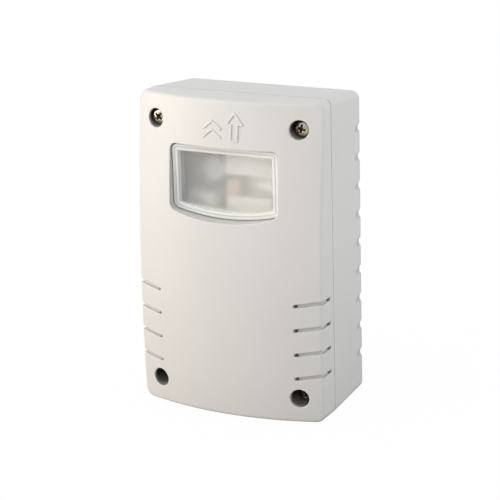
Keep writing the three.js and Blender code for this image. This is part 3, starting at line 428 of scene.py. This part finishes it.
def mesh_from_field(name, field, low, high, step, fine=(), thin=1.0, painted_shade=no_painted_shade):
    """A mesh of a field's zero surface inside a box. fine lists (axis, from, to, step) stretches."""
    axes = []
    for k in range(3):
        axes.append(grid_lines(low[k], high[k], step, [stretch[1:] for stretch in fine if stretch[0] == k]))
    inside = field(*np.meshgrid(*axes, indexing="ij")) < 0
    cell_shape = [len(a) - 1 for a in axes]
    total = np.zeros(cell_shape, np.int8)
    for i in (0, 1):
        for j in (0, 1):
            for k in (0, 1):
                total += inside[i:i + cell_shape[0], j:j + cell_shape[1], k:k + cell_shape[2]]
    active = (total > 0) & (total < 8)
    index = np.full(cell_shape, -1, np.int64)
    cells = np.argwhere(active)
    index[active] = np.arange(len(cells))
    lower = np.stack([axes[k][cells[:, k]] for k in range(3)], 1)
    upper = np.stack([axes[k][cells[:, k] + 1] for k in range(3)], 1)
    points = settle(field, (lower + upper) / 2, lower, upper)
    verts = points * MM
    verts[:, 1] *= -1
    mesh = bpy.data.meshes.new(name)
    mesh.from_pydata(verts.tolist(), [], surface_quads(inside, index).tolist())
    mesh.validate()
    if thin < 1:
        mesh = decimated(mesh, thin)
    shade_from_field(mesh, field, painted_shade)
    return mesh


def surface_quads(inside, index):
    """A quad of cell numbers round every grid edge that has one end inside and one outside."""
    cell_shape = index.shape
    quads = []
    for k in range(3):
        a, b = [(1, 2), (2, 0), (0, 1)][k]
        ahead = [slice(None)] * 3
        behind = [slice(None)] * 3
        ahead[k], behind[k] = slice(1, None), slice(None, -1)
        for rising in (True, False):
            if rising:
                crossing = inside[tuple(behind)] & ~inside[tuple(ahead)]
            else:
                crossing = ~inside[tuple(behind)] & inside[tuple(ahead)]
            at = np.argwhere(crossing)
            at = at[(at[:, a] > 0) & (at[:, b] > 0) & (at[:, a] < cell_shape[a]) & (at[:, b] < cell_shape[b])]
            ring = []
            for da, db in ((1, 1), (0, 1), (0, 0), (1, 0)):
                c = at.copy()
                c[:, a] -= da
                c[:, b] -= db
                ring.append(index[c[:, 0], c[:, 1], c[:, 2]])
            ring = np.stack(ring, 1)
            quads.append(ring if rising else ring[:, ::-1])
    return np.concatenate(quads)[:, ::-1]  # depth runs against y, which mirrors the mesh


def gradient(field, points, h=0.02):
    columns = []
    for k in range(3):
        step = np.zeros(3)
        step[k] = h
        columns.append((field(*(points + step).T) - field(*(points - step).T)) / (2 * h))
    return np.stack(columns, 1)


def settle(field, points, lower, upper, rounds=5):
    """Moves points onto the zero surface, each inside its cell."""
    for _ in range(rounds):
        slope = gradient(field, points)
        square = np.maximum((slope**2).sum(1), 0.05)
        points = np.clip(points - slope * (field(*points.T) / square)[:, None], lower, upper)
    return points


def decimated(mesh, ratio):
    work = bpy.data.objects.new("work", mesh)
    bpy.context.scene.collection.objects.link(work)
    thinner = work.modifiers.new("thin", "DECIMATE")
    thinner.ratio = ratio
    result = bpy.data.meshes.new_from_object(work.evaluated_get(bpy.context.evaluated_depsgraph_get()))
    result.name = mesh.name
    bpy.data.objects.remove(work)
    return result


def shade_from_field(mesh, field, painted_shade):
    """Smooth normals from the field, an "edge" attribute for outside corners, whose lighter colour is partly
    wear and partly painted highlight, and an attribute of painted shade.
    """
    count = len(mesh.vertices)
    flat = np.empty(count * 3, np.float32)
    mesh.vertices.foreach_get("co", flat)
    points = flat.reshape(-1, 3).astype(float) / MM
    points[:, 1] *= -1
    slope = gradient(field, points, 0.03)
    normals = slope / np.maximum(np.linalg.norm(slope, axis=1), 1e-6)[:, None]
    reach = 0.35
    sharp = (field(*(points - normals * reach).T) + reach) / reach
    edge = mesh.attributes.new("edge", "FLOAT", "POINT")
    edge.data.foreach_set("value", np.clip(sharp, 0, 1).astype(np.float32))
    # Painted shade: how far each point is darkened towards the shade colour.
    shade_paint = mesh.attributes.new("painted_shade", "FLOAT", "POINT")
    shade_paint.data.foreach_set("value", np.clip(painted_shade(*points.T), 0, 1).astype(np.float32))
    normals[:, 1] *= -1
    mesh.shade_smooth()
    mesh.normals_split_custom_set_from_vertices(normals.tolist())


def piece(name, mesh, body, stands_for, material):
    obj = bpy.data.objects.new(name, mesh)
    bpy.context.scene.collection.objects.link(obj)
    mesh.materials.append(MATERIALS[material])
    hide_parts(stands_for)
    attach(obj, body)


# ---------------------------------------------------------------- materials

def new_material(name):
    material = bpy.data.materials.new(name)
    material.use_nodes = True
    tree = material.node_tree
    return material, tree, tree.nodes["Principled BSDF"]


def link(tree, a, b):
    tree.links.new(a, b)


def noise(tree, scale, detail=4.0, roughness=0.6):
    coordinates = tree.nodes.new("ShaderNodeTexCoord")
    texture = tree.nodes.new("ShaderNodeTexNoise")
    texture.inputs["Scale"].default_value = scale
    texture.inputs["Detail"].default_value = detail
    texture.inputs["Roughness"].default_value = roughness
    link(tree, coordinates.outputs["Object"], texture.inputs["Vector"])
    return texture.outputs["Fac"]


def remap(tree, value, low, high, start=0.0, stop=1.0):
    node = tree.nodes.new("ShaderNodeMapRange")
    node.inputs["From Min"].default_value = start
    node.inputs["From Max"].default_value = stop
    node.inputs["To Min"].default_value = low
    node.inputs["To Max"].default_value = high
    link(tree, value, node.inputs["Value"])
    return node.outputs["Result"]


def spread(tree, value, low, high):
    """The middle of a noise stretched to a range."""
    return remap(tree, value, low, high, 0.3, 0.7)


def times(tree, a, b):
    node = tree.nodes.new("ShaderNodeMath")
    node.operation = "MULTIPLY"
    link(tree, a, node.inputs[0])
    link(tree, b, node.inputs[1])
    return node.outputs[0]


def attribute(tree, name):
    node = tree.nodes.new("ShaderNodeAttribute")
    node.attribute_name = name
    return node.outputs["Fac"]


def mix_colour(tree, factor, a, b):
    """a and b are colours or sockets."""
    node = tree.nodes.new("ShaderNodeMix")
    node.data_type = "RGBA"
    for slot, colour in ((6, a), (7, b)):
        if isinstance(colour, (tuple, list)):
            node.inputs[slot].default_value = (*colour, 1)
        else:
            link(tree, colour, node.inputs[slot])
    link(tree, factor, node.inputs[0])
    return node.outputs[2]


def mix_shader(tree, factor, a, b):
    node = tree.nodes.new("ShaderNodeMixShader")
    if isinstance(factor, float):
        node.inputs[0].default_value = factor
    else:
        link(tree, factor, node.inputs[0])
    link(tree, a, node.inputs[1])
    link(tree, b, node.inputs[2])
    return node.outputs[0]


def bump(tree, shader, height, distance, strength=1.0):
    node = tree.nodes.new("ShaderNodeBump")
    node.inputs["Distance"].default_value = distance
    node.inputs["Strength"].default_value = strength
    link(tree, height, node.inputs["Height"])
    link(tree, node.outputs["Normal"], shader.inputs["Normal"])


def worn_edges(tree, width):
    """High where a surface turns within this width of the point."""
    rounded = tree.nodes.new("ShaderNodeBevel")
    rounded.samples = 4
    rounded.inputs["Radius"].default_value = width
    plain = tree.nodes.new("ShaderNodeNewGeometry")
    agree = tree.nodes.new("ShaderNodeVectorMath")
    agree.operation = "DOT_PRODUCT"
    link(tree, rounded.outputs["Normal"], agree.inputs[0])
    link(tree, plain.outputs["Normal"], agree.inputs[1])
    return remap(tree, agree.outputs["Value"], 1, 0, 0.75, 0.98)


def along(tree, axis):
    """0 to 1 through the part's own box: 0 is left, front or low."""
    coordinates = tree.nodes.new("ShaderNodeTexCoord")
    split = tree.nodes.new("ShaderNodeSeparateXYZ")
    link(tree, coordinates.outputs["Generated"], split.inputs[0])
    return split.outputs[axis]


def wave(tree, axis, scale, distortion=0.0):
    """Soft bands across the part's own box."""
    node = tree.nodes.new("ShaderNodeTexWave")
    node.bands_direction = axis
    node.inputs["Scale"].default_value = scale
    node.inputs["Distortion"].default_value = distortion
    coordinates = tree.nodes.new("ShaderNodeTexCoord")
    link(tree, coordinates.outputs["Generated"], node.inputs["Vector"])
    return node.outputs["Fac"]


def stripes(tree, value, stops):
    """A colour for each stretch of a 0 to 1 value: (start, colour) pairs."""
    node = tree.nodes.new("ShaderNodeValToRGB")
    node.color_ramp.interpolation = "CONSTANT"
    elements = node.color_ramp.elements
    while len(elements) < len(stops):
        elements.new(1.0)
    for element, (start, colour) in zip(elements, stops):
        element.position = start
        element.color = (*colour, 1)
    link(tree, value, node.inputs["Fac"])
    return node.outputs["Color"]


def surface(name, colour, rough, metal=0.0, vary=0.06, grain=3000, grain_depth=0.00001, coat=0.0, paint=None):
    """Drifting colour, uneven polish, a fine grain and lighter worn edges. paint may supply the colour."""
    material, tree, shader = new_material(name)
    drift = spread(tree, noise(tree, 60), 1 - vary, 1 + vary)
    base = paint(tree) if paint else colour
    tint = tree.nodes.new("ShaderNodeHueSaturation")
    link(tree, drift, tint.inputs["Value"])
    if paint:
        link(tree, base, tint.inputs["Color"])
    else:
        tint.inputs["Color"].default_value = (*colour, 1)
    lighter = [c + (1 - c) * 0.35 for c in colour]
    worn = times(tree, worn_edges(tree, 0.15 * MM), spread(tree, noise(tree, 900), 0.0, 0.8))
    link(tree, mix_colour(tree, worn, tint.outputs["Color"], lighter), shader.inputs["Base Color"])
    link(tree, spread(tree, noise(tree, 400), rough * 0.8, rough * 1.2), shader.inputs["Roughness"])
    shader.inputs["Metallic"].default_value = metal
    shader.inputs["Coat Weight"].default_value = coat
    bump(tree, shader, noise(tree, grain, 2), grain_depth)
    return material


def moulded(name, dark, light, edge, shade_paint, rough):
    """A moulding coloured by two attributes: lighter outside corners, partly wear and partly painted
    highlight, and painted shade.
    """
    material, tree, shader = new_material(name)
    body = mix_colour(tree, spread(tree, noise(tree, 35), 0, 1), dark, light)
    # Outside corners lightened: partly wear, partly a painted highlight along the rims.
    worn = times(tree, attribute(tree, "edge"), spread(tree, noise(tree, 500), 0.2, 0.6))
    body = mix_colour(tree, worn, body, edge)
    # Painted shade: darkened towards the shade colour where the attribute says shade falls.
    link(tree, mix_colour(tree, attribute(tree, "painted_shade"), body, shade_paint), shader.inputs["Base Color"])
    link(tree, spread(tree, noise(tree, 900), rough * 0.85, rough * 1.15), shader.inputs["Roughness"])
    return material, tree, shader


def casing_material():
    dark, light = (0.715, 0.706, 0.683), (0.74, 0.731, 0.708)
    # The lighter colour is partly wear and partly painted highlight on outside corners; the dark one is the
    # colour of the painted shade.
    edge, shade_paint = (0.86, 0.85, 0.825), (0.035, 0.022, 0.012)
    material, tree, shader = moulded("casing_plastic", dark, light, edge, shade_paint, 0.45)
    shader.inputs["IOR"].default_value = 1.47
    bump(tree, shader, noise(tree, 4200, 2), 0.000012, 0.6)
    return material


def screw_material():
    dark, light = (0.46, 0.40, 0.31), (0.62, 0.55, 0.44)
    # The lighter colour is partly wear and partly a painted highlight on the head's rims; the dark one is the
    # colour of the painted shade.
    edge, shade_paint = (0.86, 0.80, 0.70), (0.06, 0.045, 0.03)
    material, tree, shader = moulded("screw_nickel", dark, light, edge, shade_paint, 0.2)
    shader.inputs["Metallic"].default_value = 1.0
    bump(tree, shader, noise(tree, 1100, 3), 0.00012, 0.7)
    return material


def lens_material():
    """Clear in the depth, milky at the surface; the pane is frosted and the border glossy."""
    material, tree, shader = new_material("frosted_lens")
    frost = attribute(tree, "frost")
    shade = attribute(tree, "painted_shade")
    link(tree, remap(tree, frost, 0.08, 0.43), shader.inputs["Roughness"])
    shader.inputs["Base Color"].default_value = (0.93, 0.95, 0.935, 1)
    shader.inputs["Transmission Weight"].default_value = 1.0
    shader.inputs["IOR"].default_value = 1.3
    bump(tree, shader, noise(tree, 2500, 3), 0.00001, 0.4)
    milk = tree.nodes.new("ShaderNodeBsdfPrincipled")
    drift = spread(tree, noise(tree, 120), 0, 1)
    pale = mix_colour(tree, drift, (0.90, 0.905, 0.885), (0.93, 0.935, 0.915))
    # The lens's milky colour darkens towards this colour where shade is painted.
    link(tree, mix_colour(tree, shade, pale, (0.22, 0.215, 0.20)), milk.inputs["Base Color"])
    link(tree, remap(tree, frost, 0.18, 0.5), milk.inputs["Roughness"])
    cloudy = mix_shader(tree, remap(tree, frost, 0.86, 0.21), shader.outputs[0], milk.outputs[0])
    # Lamps shine through the lens, so that what is behind it is lit.
    path = tree.nodes.new("ShaderNodeLightPath")
    clear = tree.nodes.new("ShaderNodeBsdfTransparent")
    clear.inputs["Color"].default_value = (0.97, 0.98, 0.97, 1)
    lit = mix_shader(tree, path.outputs["Is Shadow Ray"], cloudy, clear.outputs[0])
    link(tree, lit, tree.nodes["Material Output"].inputs["Surface"])
    return material


def can_paint(tree):
    """A capacitor's bare top and rim above a dark sleeve, front to back."""
    top, sleeve, foot = (0.74, 0.75, 0.75), (0.05, 0.06, 0.09), (0.5, 0.5, 0.5)
    return stripes(tree, along(tree, 1), [(0.0, top), (0.05, sleeve), (0.95, foot)])


def resistor_paint(tree):
    """Colour rings round a tan body, and bare leads at both ends."""
    tan, lead = (0.62, 0.50, 0.30), (0.6, 0.6, 0.6)
    brown, black, orange, gold = (0.25, 0.07, 0.02), (0.02, 0.02, 0.02), (0.6, 0.3, 0.02), (0.55, 0.4, 0.1)
    rings = [(0.32, brown), (0.44, black), (0.56, orange), (0.68, gold)]
    stops = [(0.0, lead), (0.17, tan)]
    for start, colour in rings:
        stops += [(start, colour), (start + 0.04, tan)]
    return stripes(tree, along(tree, 2), [*stops, (0.83, lead)])


def photocell_paint(tree):
    """A red-brown track that runs to and fro over a cream disc."""
    track = remap(tree, wave(tree, "Z", 1.6, 0.6), 0, 1, 0.45, 0.55)
    return mix_colour(tree, track, (0.74, 0.64, 0.52), (0.52, 0.26, 0.18))


def winding_paint(tree):
    """Turns of fine wire, front to back."""
    return mix_colour(tree, wave(tree, "Y", 7), (0.25, 0.07, 0.02), (0.75, 0.33, 0.13))


MATERIALS = {
    "casing_plastic": casing_material(),
    "frosted_lens": lens_material(),
    "screw_nickel": screw_material(),
    "seal_rubber": surface("seal_rubber", (0.03, 0.03, 0.03), 0.7, grain=1500, grain_depth=0.00002),
    # The board's dark colour is partly its own and partly painted shade for the unlit inside of the box
    # behind the lens.
    "board_laminate": surface("board_laminate", (0.16, 0.145, 0.115), 0.5, vary=0.1, grain=900),
    "zinc_steel": surface("zinc_steel", (0.6, 0.61, 0.63), 0.32, metal=1),
    "terminal_plastic": surface("terminal_plastic", (0.12, 0.25, 0.22), 0.4),
    "relay_shell": surface("relay_shell", (0.84, 0.83, 0.80), 0.35),
    "black_plastic": surface("black_plastic", (0.03, 0.03, 0.033), 0.45),
    "white_plastic": surface("white_plastic", (0.82, 0.81, 0.78), 0.45),
    "copper_wire": surface("copper_wire", (0.6, 0.25, 0.1), 0.3, metal=0.8, paint=winding_paint),
    "contact_brass": surface("contact_brass", (0.72, 0.5, 0.2), 0.3, metal=1),
    "photocell_ceramic": surface("photocell_ceramic", (0.5, 0.16, 0.1), 0.3, coat=0.6, paint=photocell_paint),
    "trimmer_plastic": surface("trimmer_plastic", (0.06, 0.14, 0.42), 0.4),
    "film_box": surface("film_box", (0.94, 0.95, 0.97), 0.4),
    "grey_film_box": surface("grey_film_box", (0.76, 0.79, 0.82), 0.4),
    "capacitor_can": surface("capacitor_can", (0.5, 0.5, 0.5), 0.35, metal=0.3, paint=can_paint),
    "varistor_coating": surface("varistor_coating", (0.05, 0.12, 0.4), 0.3, coat=0.5),
    "resistor_body": surface("resistor_body", (0.55, 0.45, 0.28), 0.4, coat=0.3, paint=resistor_paint),
}


# ---------------------------------------------------------------- the moulded pieces

SEAM_STEP = 0.1
MARK_ACROSS, MARK_UP = (-6.6, 8.2), (36.6, 46.6)  # the raised mark's stretch, which gets a finer mesh


def build_casing():
    coarse = 1.0
    fine_step, mark_step = 0.22 * coarse, 0.16 * coarse
    margin = 0.6
    low_x, high_x = -FRONT_RIGHT - margin, FRONT_RIGHT + margin
    low_z, high_z = -BOX_TOP - margin, BOX_TOP + margin
    well = WELL_R + 0.4
    half = WINDOW["half"]
    sides = [(SCREW_X - well, SCREW_X + well), (half - 0.8, half + 0.8)]
    mirrored = [(-high, -low) for low, high in sides]
    ups = [(SCREW_Z - well, SCREW_Z + well), (-SCREW_Z - well, -SCREW_Z + well)]
    ups += [(WINDOW["bottom"] - 0.8, WINDOW["side"] + 0.8), (WINDOW["top"] - 0.8, WINDOW["top"] + 0.8)]
    ups += [(GROOVE_ROWS[-1] - 1.2, GROOVE_ROWS[0] + 1.2)]
    fine = [(0, low, high, fine_step) for low, high in sides + mirrored]
    fine += [(2, low, high, fine_step) for low, high in ups]
    fine += [(0, *MARK_ACROSS, mark_step), (2, *MARK_UP, mark_step)]
    fine += [(1, COVER_REAR - 0.2, COVER_REAR + 0.3, SEAM_STEP)]
    cover = mesh_from_field(
        "front_cover_moulding", front_cover,
        (low_x, COVER_REAR - TONGUE_REACH - margin, low_z), (high_x, DEPTH + margin, high_z),
        0.4 * coarse, fine=fine, thin=0.4, painted_shade=cover_painted_shade,
    )
    piece("front_cover_moulding", cover, "cover", "front_cover", "casing_plastic")
    housing = mesh_from_field(
        "rear_housing_moulding", rear_housing,
        (low_x, -margin, low_z), (high_x, HOUSING_RIM + margin, high_z),
        0.45 * coarse, fine=[(1, HOUSING_RIM - 0.3, HOUSING_RIM + 0.2, SEAM_STEP)],
        thin=0.5, painted_shade=housing_painted_shade,
    )
    piece("rear_housing_moulding", housing, "housing", "rear_housing", "casing_plastic")
    lens = mesh_from_field(
        "window_lens_moulding", window_lens,
        (-21.5, LENS_BACK - margin, 9), (21.5, LENS_BORDER + margin, 38.5), fine_step, painted_shade=lens_painted_shade,
    )
    mark_frost(lens)
    piece("window_lens_moulding", lens, "cover", "window_lens", "frosted_lens")


def lens_painted_shade(x, d, z):
    """Painted shade in the fine groove of the border and down the border's outer side."""
    line = np.abs(window(x, z, -BORDER_LINE))
    rim = fade(window(x, z), -0.45, -0.3) * fade(d, LENS_BORDER - 0.05, LENS_BORDER - 0.3)
    return np.maximum(0.3 * fade(line, 0.22, 0.1) * (d > LENS_BORDER - 0.6), rim)


def mark_frost(mesh):
    """1 on both faces of the sunken pane, 0 elsewhere."""
    flat = np.empty(len(mesh.vertices) * 3, np.float32)
    mesh.vertices.foreach_get("co", flat)
    x, _, z = flat.reshape(-1, 3).T / MM
    on_pane = window(x, z, -PANE_INSET - 0.15) < 0
    frost = mesh.attributes.new("frost", "FLOAT", "POINT")
    frost.data.foreach_set("value", on_pane.astype(np.float32))


def build_cover_screws():
    coarse = 1.0
    reach = HEAD_R + 0.3
    mesh = mesh_from_field(
        "cover_screw_fine", cover_screw,
        (-reach, SCREW_POINT - SEAT - 0.3, -reach), (reach, HEAD_H + 0.3, reach),
        0.17 * coarse, fine=[(1, 0.4, HEAD_H + 0.3, 0.12 * coarse)], thin=0.5, painted_shade=screw_painted_shade,
    )
    mesh.materials.append(MATERIALS["screw_nickel"])
    for across, side in ((-1, "left"), (1, "right")):
        for up, level in ((-1, "bottom"), (1, "top")):
            name = f"cover_screw_{level}_{side}"
            obj = bpy.data.objects.new(f"{name}_fine", mesh)
            bpy.context.scene.collection.objects.link(obj)
            obj.location = Vector((across * SCREW_X, -SEAT, up * SCREW_Z)) * MM
            obj.rotation_euler.y = SCREW_ANGLES[name]
            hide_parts(name)
            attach(obj, name)


SCREW_ANGLES = {
    "cover_screw_top_left": 0.65,
    "cover_screw_top_right": 0.2,
    "cover_screw_bottom_left": 1.1,
    "cover_screw_bottom_right": 0.4,
}


def dress_cad_nodes():
    """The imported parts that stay: fine bevels and their materials."""
    slots = {s["node"]: s["material_slot"] for s in frame["record"]["subparts"]}
    slots["suppression_capacitor"] = "grey_film_box"
    for name, obj in nodes.items():
        if obj.hide_render:
            continue
        obj.data.materials.clear()
        obj.data.materials.append(MATERIALS[slots[name]])
        flat = obj.modifiers.new("flats", "DECIMATE")
        flat.decimate_type = "DISSOLVE"
        flat.angle_limit = math.radians(1)
        soft = obj.modifiers.new("edges", "BEVEL")
        soft.width = 0.08 * MM
        soft.segments = 2
        soft.limit_method = "ANGLE"
        soft.angle_limit = math.radians(40)


build_casing()
build_cover_screws()
dress_cad_nodes()


# ---------------------------------------------------------------- floor, light and camera

def white_world():
    """Pure white to the camera. For everything else a softer white, dimmer between the key and the fill."""
    world = bpy.data.worlds.new("studio")
    bpy.context.scene.world = world
    world.use_nodes = True
    tree = world.node_tree
    soft = tree.nodes["Background"]
    soft.inputs["Color"].default_value = (0.985, 0.99, 1, 1)
    coordinates = tree.nodes.new("ShaderNodeTexCoord")
    towards_gap = tree.nodes.new("ShaderNodeVectorMath")
    towards_gap.operation = "DOT_PRODUCT"
    link(tree, coordinates.outputs["Generated"], towards_gap.inputs[0])
    towards_gap.inputs[1].default_value = (0.8, -0.6, 0)
    link(tree, remap(tree, towards_gap.outputs["Value"], 0.84, 0.3, 0.55, 1), soft.inputs["Strength"])
    seen = tree.nodes.new("ShaderNodeBackground")
    seen.inputs["Color"].default_value = (1, 1, 1, 1)
    path = tree.nodes.new("ShaderNodeLightPath")
    both = mix_shader(tree, path.outputs["Is Camera Ray"], soft.outputs[0], seen.outputs[0])
    link(tree, both, tree.nodes["World Output"].inputs["Surface"])


def floor():
    """A pale floor. It throws less light back from close to the box than from further away."""
    mesh = bpy.data.meshes.new("floor")
    size = 3.0
    z = cad_box[0].z
    outline = [(-size, -size, z), (size, -size, z), (size, size, z), (-size, size, z)]
    mesh.from_pydata(outline, [], [(0, 1, 2, 3)])
    obj = bpy.data.objects.new("floor", mesh)
    bpy.context.scene.collection.objects.link(obj)
    material, tree, shader = new_material("floor")
    link(tree, spread(tree, noise(tree, 30), 0.85, 0.95), shader.inputs["Roughness"])
    coordinates = tree.nodes.new("ShaderNodeTexCoord")
    away = tree.nodes.new("ShaderNodeVectorMath")
    away.operation = "LENGTH"
    link(tree, coordinates.outputs["Object"], away.inputs[0])
    far = remap(tree, away.outputs["Value"], 0, 1, 0.04, 0.3)
    link(tree, mix_colour(tree, far, (0.4, 0.4, 0.4), (0.85, 0.85, 0.85)), shader.inputs["Base Color"])
    shader.inputs["Specular IOR Level"].default_value = 0.1
    glow = tree.nodes.new("ShaderNodeEmission")
    path = tree.nodes.new("ShaderNodeLightPath")
    seen = mix_shader(tree, 0.96, shader.outputs[0], glow.outputs[0])
    glow.inputs["Strength"].default_value = 1.02
    shown = mix_shader(tree, path.outputs["Is Camera Ray"], shader.outputs[0], seen)
    link(tree, shown, tree.nodes["Material Output"].inputs["Surface"])
    mesh.materials.append(material)


def lamp(name, place, size, power, colour=(1, 1, 1)):
    data = bpy.data.lights.new(name, "AREA")
    data.size = size
    data.energy = power
    data.color = colour
    obj = bpy.data.objects.new(name, data)
    obj.location = place
    obj.rotation_euler = (-Vector(place)).to_track_quat("-Z", "Y").to_euler()
    obj.visible_camera = False
    bpy.context.scene.collection.objects.link(obj)


def camera():
    data = bpy.data.cameras.new("camera")
    data.lens = 136.15
    data.sensor_width = 36.0
    data.clip_start = 0.01
    obj = bpy.data.objects.new("camera", data)
    azimuth, elevation, roll = math.radians(27.89), math.radians(16.54), math.radians(-1.62)
    distance = 0.5875
    target = Vector((0.00056, -0.0189, -0.00112))
    level = math.cos(elevation)
    back = Vector((math.sin(azimuth) * level, -math.cos(azimuth) * level, math.sin(elevation)))
    obj.location = target + back * distance
    obj.rotation_mode = "QUATERNION"
    obj.rotation_quaternion = (-back).to_track_quat("-Z", "Y") @ Quaternion((0, 0, 1), roll)
    bpy.context.scene.collection.objects.link(obj)
    bpy.context.scene.camera = obj


white_world()
floor()
lamp("near", (-0.16, -0.22, 0.17), 0.1, 0.15)
lamp("key", (-1.05, -0.75, 0.04), 0.35, 7.7, (1, 0.83, 0.67))
lamp("fill", (1.0, -0.08, 0.2), 0.5, 1.85, (0.95, 0.97, 1))
camera()
bpy.context.scene.view_settings.view_transform = "Standard"
